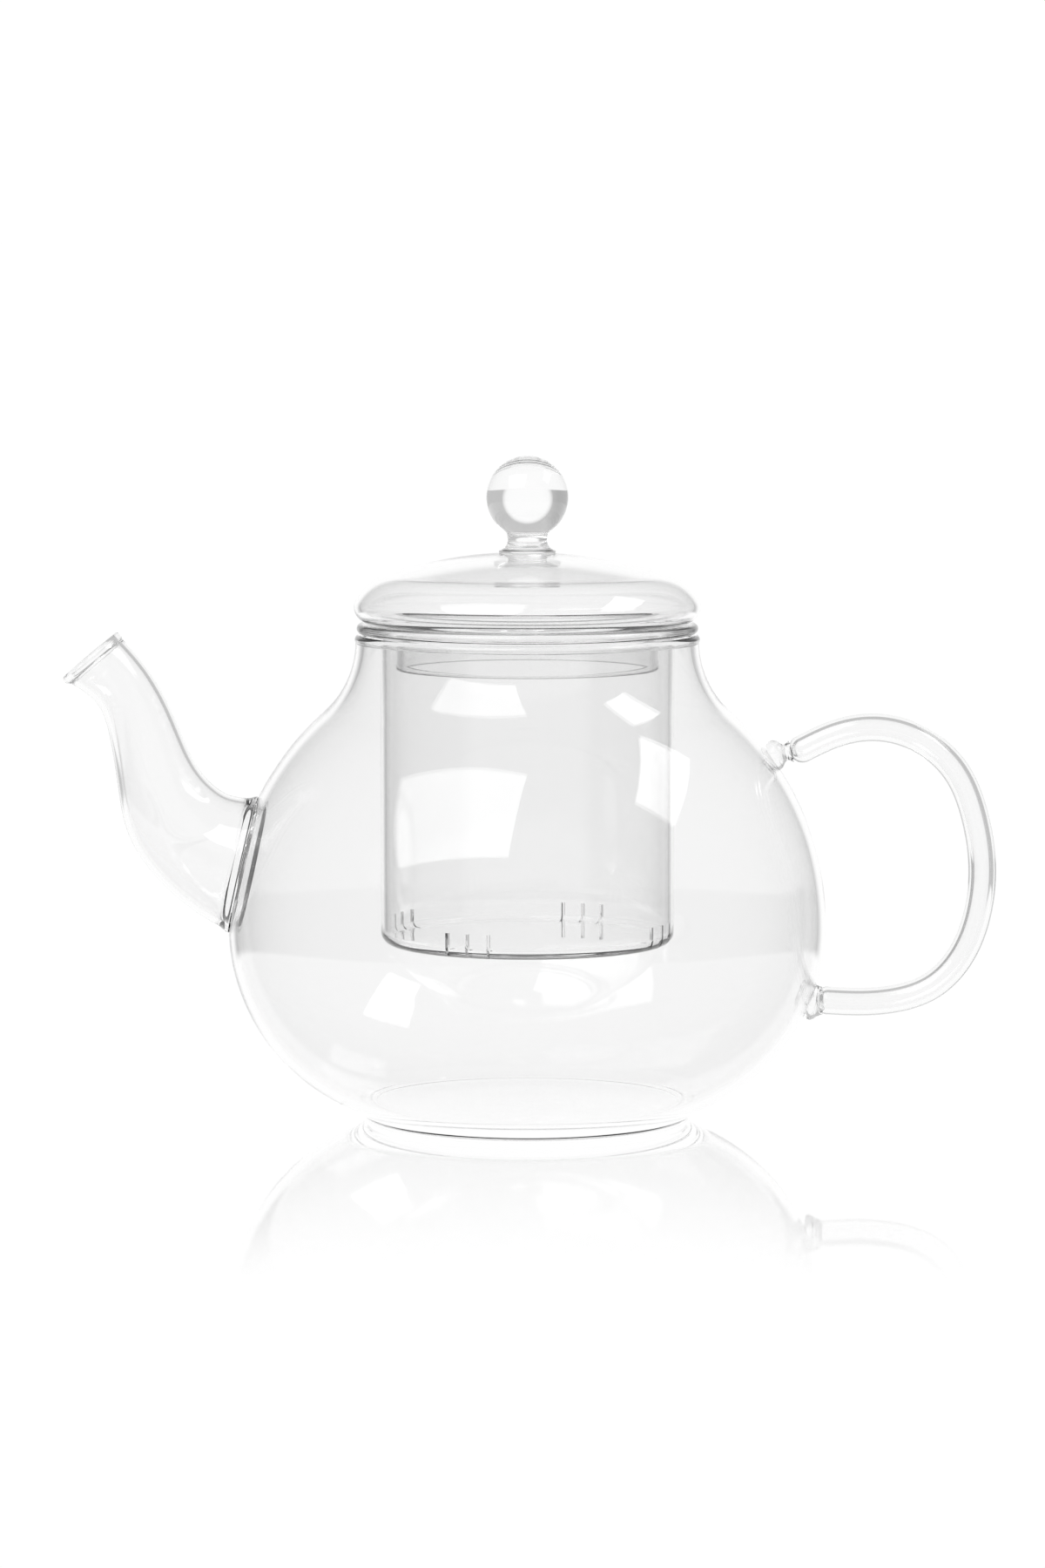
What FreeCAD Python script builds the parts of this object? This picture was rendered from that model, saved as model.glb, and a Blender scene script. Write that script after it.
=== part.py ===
import FreeCAD, Part
import math
import os
import Sketcher

# Glass teapot: a flame-worked pot, the slotted infuser that hangs in its neck, and a lid.
# Millimetres, +Z up. The origin is the centre of the foot, on the pot's axis.
# The spout points along -X and the handle along +X.

Vector = FreeCAD.Vector
doc = FreeCAD.newDocument("GlassTeapot")

# ---- driving sizes ----

SIZES = {
    # pot, blown in one with its neck and pressed foot
    "body_diameter": 150.0,
    "widest_height": 49.0,
    "pot_height": 121.9,
    "neck_diameter": 86.0,
    "shoulder_radius": 24.0,
    "rim_straight": 1.6,
    "pot_wall": 2.1,
    "floor_thickness": 3.0,
    "floor_edge_inset": 5.0,
    "foot_diameter": 81.0,
    "foot_step_diameter": 91.0,
    "foot_height": 4.0,
    # spout, drawn from a wide base to a flared lip
    "spout_wall": 1.4,
    "spout_lip_bead": 0.9,
    "spout_seam_bead": 1.2,
    # handle, a hollow tube with closed ends, held by two beads of glass
    "handle_tube_diameter": 7.0,
    "handle_tube_wall": 1.3,
    "handle_upper_height": 91.3,
    "handle_upper_gap": 4.2,
    "handle_upper_rise": 1.9,
    "handle_lower_height": 29.7,
    "handle_lower_gap": 0.6,
    "upper_bead_radius": 3.8,
    "upper_bead_neck_radius": 2.2,
    "lower_bead_radius": 5.0,
    "lower_bead_tip_radius": 3.7,
    "lower_bead_length": 3.2,
    # infuser, a tube with a flange, a closed base and saw-cut slots
    "neck_gap": 4.2,
    "infuser_wall": 1.4,
    "infuser_depth": 77.6,
    "infuser_base_thickness": 1.7,
    "infuser_corner_radius": 3.0,
    "flange_thickness": 2.4,
    "flange_inset": 0.3,
    "slot_width": 0.7,
    "slot_rise": 6.2,
    "slot_reach": 3.6,
    "slot_pitch_angle": 8.7,
    "slot_turn": -24.0,
    # lid, a blown dome with a rolled edge, a collar and a ball knob
    "lid_overhang": 0.7,
    "lid_wall": 1.7,
    "lid_height": 17.4,
    "lid_edge_radius": 3.9,
    "lid_edge_turn": 30.0,
    "lid_shoulder_radius": 14.0,
    "collar_gap": 2.4,
    "collar_wall": 1.6,
    "collar_depth": 11.9,
    "knob_diameter": 20.5,
    "knob_rise": 13.8,
    "knob_waist_diameter": 9.8,
    "knob_waist_rise": 3.2,
    "knob_root_diameter": 14.2,
    "knob_button_diameter": 16.8,
    "knob_button_depth": 4.0,
    # space left where the loose assemblies rest on each other
    "seat_clearance": 0.3,
}

# Spout sections: distance out from the pot's widest radius, height above its widest
# point, outer diameter, and how steeply the spout rises there, in degrees. The root is
# well inside the pot, so that the spout still passes through a wall that moves.
SPOUT_SECTIONS = {
    "root": (-28.0, 9.4, 39.0, 8.0),
    "shank": (-19.5, 11.4, 37.0, 10.0),
    "inlet": (-11.0, 13.4, 35.0, 12.0),
    "base": (-2.5, 15.4, 33.0, 14.0),
    "bulge": (8.4, 21.7, 27.6, 38.0),
    "bend": (13.8, 27.9, 24.9, 56.0),
    "rise": (17.5, 36.4, 20.7, 70.0),
    "throat": (21.7, 50.6, 16.7, 70.0),
    "waist": (26.7, 60.5, 15.4, 54.0),
    "mouth": (33.6, 66.9, 17.4, 50.0),
}
BORE_OVERRUN = 1.5  # the bore's cutting shape runs on past the mouth

# Corners of the handle's centre line between its ends. Each follows one end of the
# tube: its height is above that end. It is out from that end where it is beside the
# pot, and otherwise out from the pot's widest radius. The tube turns at each corner in
# one tangent arc.
HANDLE_CORNERS = (
    ("upper", "end", 8.85, 5.15),
    ("upper", "body", 21.5, 5.55),
    ("upper", "body", 39.0, -13.2),
    ("lower", "body", 39.1, 21.2),
    ("lower", "body", 26.6, -0.5),
)
HANDLE_ARC_SHARE = 0.48  # of the shorter run beside a corner, taken by its arc

SLOT_GROUPS = 4
SLOTS_IN_GROUP = 3
SLOT_OVERRUN = 1.0  # how far a slot's cutting shape runs on outside the glass

# ---- places worked out from the sizes, as formulas of a second sheet ----

PLACES = {
    "body_radius": "Sizes.body_diameter / 2",
    "neck_radius": "Sizes.neck_diameter / 2",
    "foot_radius": "Sizes.foot_diameter / 2",
    "step_radius": "Sizes.foot_step_diameter / 2",
    "rim_centre": "Sizes.pot_height - Sizes.pot_wall / 2",
    # the shoulder's arc is centred outside the neck, at the height where the neck ends
    "shoulder_top": "Sizes.pot_height - Sizes.rim_straight",
    "shoulder_across": "neck_radius + Sizes.shoulder_radius",
    # the belly's arc is centred at the widest height and tangent to the shoulder's
    "belly_inset": "shoulder_across - body_radius",
    "belly_rise": "shoulder_top - Sizes.widest_height",
    "belly_radius": "(belly_inset ^ 2 + belly_rise ^ 2 - Sizes.shoulder_radius ^ 2)"
    " / (2 * (Sizes.shoulder_radius - belly_inset))",
    "belly_across": "body_radius - belly_radius",
    # the bowl's arc is centred at the widest height and runs down to the foot's step
    "step_drop": "Sizes.widest_height - Sizes.foot_height",
    "step_inset": "body_radius - step_radius",
    "bowl_radius": "(step_drop ^ 2 + step_inset ^ 2) / (2 * step_inset)",
    "bowl_across": "body_radius - bowl_radius",
    # the infuser hangs by its flange on the pot's rim
    "infuser_radius": "neck_radius - Sizes.pot_wall - Sizes.neck_gap",
    "infuser_bore": "infuser_radius - Sizes.infuser_wall",
    "infuser_bottom": "Sizes.pot_height - Sizes.infuser_depth",
    "infuser_floor": "infuser_bottom + Sizes.infuser_base_thickness",
    "infuser_inner_corner": "Sizes.infuser_corner_radius - Sizes.infuser_wall",
    "flange_bottom": "Sizes.pot_height + Sizes.seat_clearance",
    "flange_top": "flange_bottom + Sizes.flange_thickness",
    "flange_radius": "neck_radius - Sizes.flange_inset",
    # the lid rests on the flange, and its collar hangs inside the infuser
    "lid_bottom": "flange_top + Sizes.seat_clearance",
    "lid_top": "lid_bottom + Sizes.lid_height",
    "lid_radius": "flange_radius + Sizes.lid_overhang",
    "lid_edge_across": "lid_radius - Sizes.lid_edge_radius",
    "lid_edge_height": "lid_bottom + Sizes.lid_edge_radius",
    "lid_edge_to_shoulder": "Sizes.lid_shoulder_radius - Sizes.lid_edge_radius",
    "lid_shoulder_across": "lid_edge_across - lid_edge_to_shoulder * cos(Sizes.lid_edge_turn)",
    "lid_shoulder_height": "lid_edge_height - lid_edge_to_shoulder * sin(Sizes.lid_edge_turn)",
    "lid_shoulder_drop": "lid_top - lid_shoulder_height",
    "lid_crown_radius": "(lid_shoulder_across ^ 2 + lid_shoulder_drop ^ 2 - Sizes.lid_shoulder_radius ^ 2)"
    " / (2 * (lid_shoulder_drop - Sizes.lid_shoulder_radius))",
    "lid_crown_height": "lid_top - lid_crown_radius",
    "collar_radius": "infuser_bore - Sizes.collar_gap",
    "collar_bore": "collar_radius - Sizes.collar_wall",
    "knob_root_radius": "Sizes.knob_root_diameter / 2",
    "knob_waist_radius": "Sizes.knob_waist_diameter / 2",
    "knob_button_radius": "Sizes.knob_button_diameter / 2",
    "knob_centre": "lid_top + Sizes.knob_rise",
    "knob_waist_height": "lid_top + Sizes.knob_waist_rise",
    "knob_button_bottom": "lid_top - Sizes.knob_button_depth",
}


def fill_sheet(name, rows):
    """One row for each alias, and the values that the sheet then holds."""
    sheet = doc.addObject("Spreadsheet::Sheet", name)
    for row, (alias, content) in enumerate(rows.items(), start=1):
        sheet.set("A%d" % row, alias)
        sheet.set("B%d" % row, content)
        sheet.setAlias("B%d" % row, alias)
    doc.recompute()
    return {alias: float(sheet.get(alias)) for alias in rows}


def size_rows():
    rows = {alias: repr(value) for alias, value in SIZES.items()}
    for name, section in SPOUT_SECTIONS.items():
        for part, value in zip(("out", "up", "diameter", "rise"), section):
            rows["spout_%s_%s" % (name, part)] = repr(value)
    return rows


size = fill_sheet("Sizes", size_rows())
place = fill_sheet("Places", {alias: "=" + formula for alias, formula in PLACES.items()})


def outside_radius(height):
    """Radius of the pot's outer surface at a height between the foot and the neck."""
    above = height - size["widest_height"]
    if above < 0:
        return place["bowl_across"] + math.sqrt(place["bowl_radius"] ** 2 - above**2)
    to_shoulder = place["belly_radius"] + size["shoulder_radius"]
    if above < place["belly_rise"] * place["belly_radius"] / to_shoulder:
        return place["belly_across"] + math.sqrt(place["belly_radius"] ** 2 - above**2)
    below = place["shoulder_top"] - height
    return place["shoulder_across"] - math.sqrt(size["shoulder_radius"] ** 2 - below**2)


# ---- sketch helpers ----

START, END, CENTRE = 1, 2, 3
LEVEL_AXIS, UPRIGHT_AXIS = -1, -2


def new_sketch(name):
    """A new body, and a sketch on its XZ plane: across is the radius, up is the height."""
    body = doc.addObject("PartDesign::Body", name)
    sketch = body.newObject("Sketcher::SketchObject", name + "_outline")
    plane = [item for item in body.Origin.OriginFeatures if item.Role == "XZ_Plane"][0]
    sketch.AttachmentSupport = [(plane, "")]
    sketch.MapMode = "FlatFace"
    return body, sketch


def add_line(sketch, start, end):
    return sketch.addGeometry(Part.LineSegment(Vector(*start), Vector(*end)), False)


def add_arc(sketch, centre, radius, first, last):
    """An arc about a centre, anticlockwise between two angles in degrees."""
    circle = Part.Circle(Vector(*centre), Vector(0, 0, 1), radius)
    arc = Part.ArcOfCircle(circle, math.radians(first), math.radians(last))
    return sketch.addGeometry(arc, False)


def pin(sketch, geometry, point, across=None, up=None):
    """Hold a point at a distance across from the axis, up from the foot, or both."""
    now = sketch.getPoint(geometry, point)
    for kind, formula, value in (("DistanceX", across, now.x), ("DistanceY", up, now.y)):
        if formula is not None:
            constraint = Sketcher.Constraint(kind, LEVEL_AXIS, START, geometry, point, value)
            index = sketch.addConstraint(constraint)
            sketch.setExpression("Constraints[%d]" % index, formula)


def join(sketch, first, first_point, second, second_point):
    sketch.addConstraint(Sketcher.Constraint("Coincident", first, first_point, second, second_point))


def blend(sketch, first, first_point, second, second_point):
    """Join two ends so that one curve runs smoothly into the next."""
    sketch.addConstraint(Sketcher.Constraint("Tangent", first, first_point, second, second_point))


def put_on_axis(sketch, geometry, point, axis):
    sketch.addConstraint(Sketcher.Constraint("PointOnObject", geometry, point, axis))


def direction(kind, sketch, geometry):
    sketch.addConstraint(Sketcher.Constraint(kind, geometry))


def angle_to(centre, point):
    return math.degrees(math.atan2(point[1] - centre[1], point[0] - centre[0]))


def revolve(body, sketch):
    turned = body.newObject("PartDesign::Revolution", body.Name + "_turned")
    turned.Profile = sketch
    turned.ReferenceAxis = (sketch, ["V_Axis"])
    turned.Angle = 360
    return body


def boolean(kind, name, base, tool):
    """A Part::Cut or Part::Fuse of two objects."""
    made = doc.addObject("Part::" + kind, name)
    made.Base = base
    made.Tool = tool
    return made


# ---- pot bowl ----


def pot_side(sketch, inset, inset_formula):
    """The shoulder, belly and bowl arcs, inside the pot's outer surface by the inset.

    Returns the bowl arc, whose start is square in from the foot's step, and the
    shoulder arc, whose start is at the neck."""
    bowl_centre = (place["bowl_across"], size["widest_height"])
    belly_centre = (place["belly_across"], size["widest_height"])
    shoulder_centre = (place["shoulder_across"], place["shoulder_top"])
    low_angle = angle_to(bowl_centre, (place["step_radius"], size["foot_height"]))
    lean = angle_to(belly_centre, shoulder_centre)

    bowl = add_arc(sketch, bowl_centre, place["bowl_radius"] - inset, low_angle, 0)
    belly = add_arc(sketch, belly_centre, place["belly_radius"] - inset, 0, lean)
    shoulder = add_arc(sketch, shoulder_centre, size["shoulder_radius"] + inset, 180, 180 + lean)

    pin(sketch, shoulder, CENTRE, "Places.shoulder_across", "Places.shoulder_top")
    pin(sketch, shoulder, START, "Places.neck_radius - (%s)" % inset_formula, "Places.shoulder_top")
    blend(sketch, belly, END, shoulder, END)
    pin(sketch, belly, CENTRE, "Places.belly_across", "Sizes.widest_height")
    pin(sketch, belly, START, up="Sizes.widest_height")
    join(sketch, bowl, END, belly, START)
    pin(sketch, bowl, CENTRE, "Places.bowl_across", "Sizes.widest_height")
    low_formula = "Sizes.widest_height - (Places.bowl_radius - (%s)) * Places.step_drop / Places.bowl_radius"
    pin(sketch, bowl, START, up=low_formula % inset_formula)
    return bowl, shoulder


def foot_lines(sketch, bowl):
    """The flat face that the pot stands on, and the foot's side up to the bowl."""
    base = add_line(sketch, (0, 0), (place["foot_radius"], 0))
    side = add_line(sketch, (place["foot_radius"], 0), (place["step_radius"], size["foot_height"]))
    join(sketch, base, START, LEVEL_AXIS, START)
    pin(sketch, base, END, across="Places.foot_radius")
    put_on_axis(sketch, base, END, LEVEL_AXIS)
    join(sketch, side, START, base, END)
    join(sketch, side, END, bowl, START)
    return base


def make_pot_form(name, inset, inset_formula):
    """The pot's side filled in, from the foot's step to the neck: what is sealed to the pot
    is trimmed by it."""
    body, sketch = new_sketch(name)
    bowl, shoulder = pot_side(sketch, inset, inset_formula)
    low, high = sketch.getPoint(bowl, START), sketch.getPoint(shoulder, START)
    base = add_line(sketch, (0, low.y), (low.x, low.y))
    top = add_line(sketch, (high.x, high.y), (0, high.y))
    axis = add_line(sketch, (0, high.y), (0, low.y))
    put_on_axis(sketch, base, START, UPRIGHT_AXIS)
    direction("Horizontal", sketch, base)
    join(sketch, base, END, bowl, START)
    join(sketch, top, START, shoulder, START)
    put_on_axis(sketch, top, END, UPRIGHT_AXIS)
    direction("Horizontal", sketch, top)
    join(sketch, axis, START, top, END)
    join(sketch, axis, END, base, START)
    return revolve(body, sketch)


def make_pot_shell():
    """The blown wall with its fire-polished rim and flat foot, before the spout's hole."""
    body, sketch = new_sketch("pot_shell")
    wall = size["pot_wall"]
    floor = size["floor_thickness"]
    outer_bowl, outer_shoulder = pot_side(sketch, 0, "0")
    inner_bowl, inner_shoulder = pot_side(sketch, wall, "Sizes.pot_wall")
    base = foot_lines(sketch, outer_bowl)

    neck, inside = place["neck_radius"], place["neck_radius"] - wall
    top, rim_height = place["shoulder_top"], place["rim_centre"]
    outer_neck = add_line(sketch, (neck, top), (neck, rim_height))
    rim = add_arc(sketch, (neck - wall / 2, rim_height), wall / 2, 0, 180)
    inner_neck = add_line(sketch, (inside, rim_height), (inside, top))
    join(sketch, outer_neck, START, outer_shoulder, START)
    direction("Vertical", sketch, outer_neck)
    join(sketch, outer_neck, END, rim, START)
    pin(sketch, rim, START, up="Places.rim_centre")
    pin(sketch, rim, CENTRE, up="Places.rim_centre")
    join(sketch, inner_neck, START, rim, END)
    direction("Vertical", sketch, inner_neck)
    join(sketch, inner_neck, END, inner_shoulder, START)
    pin(sketch, rim, END, up="Places.rim_centre")

    edge = sketch.getPoint(inner_bowl, START)
    floor_edge = place["foot_radius"] - size["floor_edge_inset"]
    slope = add_line(sketch, (edge.x, edge.y), (floor_edge, floor))
    floor_line = add_line(sketch, (floor_edge, floor), (0, floor))
    axis = add_line(sketch, (0, floor), (0, 0))
    join(sketch, slope, START, inner_bowl, START)
    join(sketch, slope, END, floor_line, START)
    pin(sketch, floor_line, START, "Places.foot_radius - Sizes.floor_edge_inset", "Sizes.floor_thickness")
    direction("Horizontal", sketch, floor_line)
    put_on_axis(sketch, floor_line, END, UPRIGHT_AXIS)
    join(sketch, axis, START, floor_line, END)
    join(sketch, axis, END, base, START)
    return revolve(body, sketch)


# ---- spout ----


def section_circle(name, section, inset_formula, overrun=0.0):
    """A circle square to the spout's centre line at one of its sections."""
    out, up, rise = ("Sizes.spout_%s_%s" % (section, part) for part in ("out", "up", "rise"))
    circle = doc.addObject("Part::Circle", name)
    circle.Placement = FreeCAD.Placement(Vector(0, 0, 0), FreeCAD.Rotation(Vector(0, 1, 0), -45))
    circle.setExpression("Radius", "Sizes.spout_%s_diameter / 2 - (%s)" % (section, inset_formula))
    circle.setExpression("Placement.Base.x", "-(Places.body_radius + %s + %r * cos(%s))" % (out, overrun, rise))
    circle.setExpression("Placement.Base.z", "Sizes.widest_height + %s + %r * sin(%s)" % (up, overrun, rise))
    circle.setExpression("Placement.Rotation.Angle", "%s - 90" % rise)
    return circle


def spout_loft(name, inset_formula, overrun=0.0):
    circles = [
        section_circle("%s_%s" % (name, section), section, inset_formula) for section in SPOUT_SECTIONS
    ]
    if overrun:
        circles.append(section_circle(name + "_past_mouth", "mouth", inset_formula, overrun))
    loft = doc.addObject("Part::Loft", name)
    loft.Sections = circles
    loft.Solid = True
    return loft


def make_lip():
    """The round bead of glass that runs round the spout's mouth."""
    lip = doc.addObject("Part::Torus", "spout_lip")
    centre = section_circle("spout_lip_centre", "mouth", "0")
    lip.Placement = centre.Placement
    for part in ("Placement.Base.x", "Placement.Base.z", "Placement.Rotation.Angle"):
        lip.setExpression(part, "%s.%s" % (centre.Name, part))
    lip.setExpression("Radius1", "Sizes.spout_mouth_diameter / 2")
    lip.setExpression("Radius2", "Sizes.spout_lip_bead")
    return lip


def make_spout(envelope, bore):
    """The drawn spout with its fire-polished lip, trimmed where it meets the pot."""
    outside = spout_loft("spout_outside", "0")
    with_lip = boolean("Fuse", "spout_with_lip", outside, make_lip())
    hollow = boolean("Cut", "spout_hollow", with_lip, bore)
    return boolean("Cut", "spout", hollow, envelope), outside


def make_spout_seam(envelope, outside):
    """The ring of glass that seals the spout to the pot: it stands out from both by the same bead."""
    around_pot = make_pot_form("seam_on_pot", -size["spout_seam_bead"], "-Sizes.spout_seam_bead")
    around_spout = spout_loft("seam_on_spout", "-Sizes.spout_seam_bead")
    collar = boolean("Common", "seam_collar", around_pot, around_spout)
    off_pot = boolean("Cut", "seam_off_pot", collar, envelope)
    return boolean("Cut", "spout_seam", off_pot, outside)


# ---- handle ----


def handle_ends():
    """Centres of the tube's two closed ends, each a gap and the tube's radius off the pot."""
    tube = size["handle_tube_diameter"] / 2
    upper = outside_radius(size["handle_upper_height"]) + size["handle_upper_gap"] + tube
    lower = outside_radius(size["handle_lower_height"]) + size["handle_lower_gap"] + tube
    return (
        Vector(upper, 0, size["handle_upper_height"] + size["handle_upper_rise"]),
        Vector(lower, 0, size["handle_lower_height"]),
    )


def make_handle_line():
    """Straight runs joined by tangent arcs, from the upper end round to the lower one."""
    upper, lower = handle_ends()
    corners = []
    for followed, measured_from, out, up in HANDLE_CORNERS:
        end = upper if followed == "upper" else lower
        across = end.x if measured_from == "end" else place["body_radius"]
        corners.append(Vector(across + out, 0, end.z + up))
    points = [upper] + corners + [lower]
    edges = []
    last = upper
    for before, corner, after in zip(points, points[1:], points[2:]):
        back = before - corner
        ahead = after - corner
        reach = HANDLE_ARC_SHARE * min(back.Length, ahead.Length)
        back.normalize()
        ahead.normalize()
        entry = corner + back * reach
        leave = corner + ahead * reach
        half_turn = back.getAngle(ahead) / 2
        middle = (back + ahead).normalize()
        depth = reach / math.cos(half_turn) - reach * math.tan(half_turn)
        edges.append(Part.LineSegment(last, entry).toShape())
        edges.append(Part.Arc(entry, corner + middle * depth, leave).toShape())
        last = leave
    edges.append(Part.LineSegment(last, lower).toShape())
    line = doc.addObject("Part::Feature", "handle_line")
    line.Shape = Part.Wire(edges)
    return line


def handle_rod(name, line, radius_formula):
    """A round bar along the handle's line, with a ball at each end."""
    first, second = line.Shape.Edges[0].Vertexes
    heading = second.Point - first.Point
    ring = doc.addObject("Part::Circle", name + "_section")
    ring.Placement = FreeCAD.Placement(first.Point, FreeCAD.Rotation(Vector(0, 0, 1), heading))
    ring.setExpression("Radius", radius_formula)
    sweep = doc.addObject("Part::Sweep", name + "_sweep")
    sweep.Sections = [ring]
    sweep.Spine = (line, ["Edge%d" % (index + 1) for index in range(len(line.Shape.Edges))])
    sweep.Solid = True
    sweep.Frenet = False
    made = sweep
    for end_name, centre in zip(("upper", "lower"), handle_ends()):
        ball = doc.addObject("Part::Sphere", "%s_%s_end" % (name, end_name))
        ball.Placement.Base = centre
        ball.setExpression("Radius", radius_formula)
        made = boolean("Fuse", "%s_with_%s_end" % (name, end_name), made, ball)
    return made


def make_handle():
    """The bent tube with its ends drawn shut."""
    line = make_handle_line()
    outside = handle_rod("handle_outside", line, "Sizes.handle_tube_diameter / 2")
    bore = handle_rod("handle_bore", line, "Sizes.handle_tube_diameter / 2 - Sizes.handle_tube_wall")
    return boolean("Cut", "handle_tube", outside, bore), outside


def seal_placement(base, heading):
    """A round tool's place, turned so that its own seam line is off the pot's, which is at y = 0."""
    towards = FreeCAD.Rotation(Vector(0, 0, 1), heading)
    return FreeCAD.Placement(base, towards.multiply(FreeCAD.Rotation(Vector(0, 0, 1), 90)))


def trimmed_bead(name, bead, envelope, handle_outside):
    """A bead of glass, less what the pot and the handle's tube take up."""
    off_pot = boolean("Cut", name + "_off_pot", bead, envelope)
    return boolean("Cut", name, off_pot, handle_outside)


def make_upper_bead(envelope, handle_outside):
    """The ball of glass, with its short neck, that holds the handle's upper end."""
    upper, _ = handle_ends()
    surface = Vector(outside_radius(size["handle_upper_height"]), 0, size["handle_upper_height"])
    ball = doc.addObject("Part::Sphere", "upper_bead_ball")
    ball.Placement = seal_placement(surface, upper - surface)
    ball.setExpression("Radius", "Sizes.upper_bead_radius")
    neck = doc.addObject("Part::Cylinder", "upper_bead_neck")
    neck.Placement = seal_placement(surface, upper - surface)
    neck.setExpression("Radius", "Sizes.upper_bead_neck_radius")
    neck.Height = (upper - surface).Length
    bead = boolean("Fuse", "upper_bead_whole", ball, neck)
    return trimmed_bead("upper_handle_bead", bead, envelope, handle_outside)


def make_lower_bead(envelope, handle_outside):
    """The cone of glass that holds the handle's lower end."""
    _, lower = handle_ends()
    surface = outside_radius(size["handle_lower_height"])
    cone = doc.addObject("Part::Cone", "lower_bead_cone")
    sunk = size["pot_wall"]
    cone.Placement = seal_placement(Vector(surface - sunk, 0, lower.z), Vector(1, 0, 0))
    cone.setExpression("Radius1", "Sizes.lower_bead_radius")
    cone.setExpression("Radius2", "Sizes.lower_bead_tip_radius")
    cone.setExpression("Height", "Sizes.lower_bead_length + Sizes.pot_wall")
    return trimmed_bead("lower_handle_bead", cone, envelope, handle_outside)


# ---- infuser ----


def make_infuser_cup():
    """The straight tube with its flange turned out at the top and its base closed."""
    body, sketch = new_sketch("infuser_cup")
    radius, bore = place["infuser_radius"], place["infuser_bore"]
    bottom, floor = place["infuser_bottom"], place["infuser_floor"]
    outer_corner, inner_corner = size["infuser_corner_radius"], place["infuser_inner_corner"]
    edge_radius = size["flange_thickness"] / 2
    edge_across, edge_height = place["flange_radius"] - edge_radius, place["flange_bottom"] + edge_radius

    base = add_line(sketch, (0, bottom), (radius - outer_corner, bottom))
    corner = add_arc(sketch, (radius - outer_corner, bottom + outer_corner), outer_corner, -90, 0)
    wall = add_line(sketch, (radius, bottom + outer_corner), (radius, place["flange_bottom"]))
    under = add_line(sketch, (radius, place["flange_bottom"]), (edge_across, place["flange_bottom"]))
    edge = add_arc(sketch, (edge_across, edge_height), edge_radius, -90, 90)
    top = add_line(sketch, (edge_across, place["flange_top"]), (bore, place["flange_top"]))
    inner_wall = add_line(sketch, (bore, place["flange_top"]), (bore, floor + inner_corner))
    inner_arc = add_arc(sketch, (bore - inner_corner, floor + inner_corner), inner_corner, -90, 0)
    inner_base = add_line(sketch, (bore - inner_corner, floor), (0, floor))
    axis = add_line(sketch, (0, floor), (0, bottom))

    put_on_axis(sketch, base, START, UPRIGHT_AXIS)
    pin(sketch, base, START, up="Places.infuser_bottom")
    direction("Horizontal", sketch, base)
    blend(sketch, base, END, corner, START)
    pin(sketch, corner, CENTRE, "Places.infuser_radius - Sizes.infuser_corner_radius")
    blend(sketch, corner, END, wall, START)
    pin(sketch, wall, START, across="Places.infuser_radius")
    direction("Vertical", sketch, wall)
    join(sketch, wall, END, under, START)
    direction("Horizontal", sketch, under)
    pin(sketch, under, START, up="Places.flange_bottom")
    join(sketch, under, END, edge, START)
    pin(sketch, edge, START, across="Places.flange_radius - Sizes.flange_thickness / 2")
    pin(sketch, edge, END, "Places.flange_radius - Sizes.flange_thickness / 2", "Places.flange_top")
    pin(sketch, edge, CENTRE, across="Places.flange_radius - Sizes.flange_thickness / 2")
    join(sketch, edge, END, top, START)
    direction("Horizontal", sketch, top)
    join(sketch, top, END, inner_wall, START)
    pin(sketch, inner_wall, START, across="Places.infuser_bore")
    direction("Vertical", sketch, inner_wall)
    blend(sketch, inner_wall, END, inner_arc, END)
    pin(sketch, inner_arc, CENTRE, "Places.infuser_bore - Places.infuser_inner_corner")
    blend(sketch, inner_arc, START, inner_base, START)
    direction("Horizontal", sketch, inner_base)
    put_on_axis(sketch, inner_base, END, UPRIGHT_AXIS)
    pin(sketch, inner_base, END, up="Places.infuser_floor")
    join(sketch, inner_base, END, axis, START)
    join(sketch, axis, END, base, START)
    return revolve(body, sketch)


def make_slot_blades():
    """Thin upright blades across the base's corner, in groups of three."""
    blades = []
    for group in range(SLOT_GROUPS):
        for slot in range(SLOTS_IN_GROUP):
            offset = (slot - (SLOTS_IN_GROUP - 1) / 2) * size["slot_pitch_angle"]
            turn = -90 + size["slot_turn"] + group * 360 / SLOT_GROUPS + offset
            rotation = FreeCAD.Rotation(Vector(0, 0, 1), turn)
            corner = Vector(
                place["infuser_radius"] - size["slot_reach"],
                -size["slot_width"] / 2,
                place["infuser_bottom"] - SLOT_OVERRUN,
            )
            blade = doc.addObject("Part::Box", "slot_blade_%d_%d" % (group, slot))
            blade.Placement = FreeCAD.Placement(rotation.multVec(corner), rotation)
            blade.setExpression("Length", "Sizes.slot_reach + %r" % SLOT_OVERRUN)
            blade.setExpression("Width", "Sizes.slot_width")
            blade.setExpression("Height", "Sizes.slot_rise + %r" % SLOT_OVERRUN)
            blades.append(blade)
    group = doc.addObject("Part::Compound", "slot_blades")
    group.Links = blades
    return group


# ---- lid ----


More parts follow.
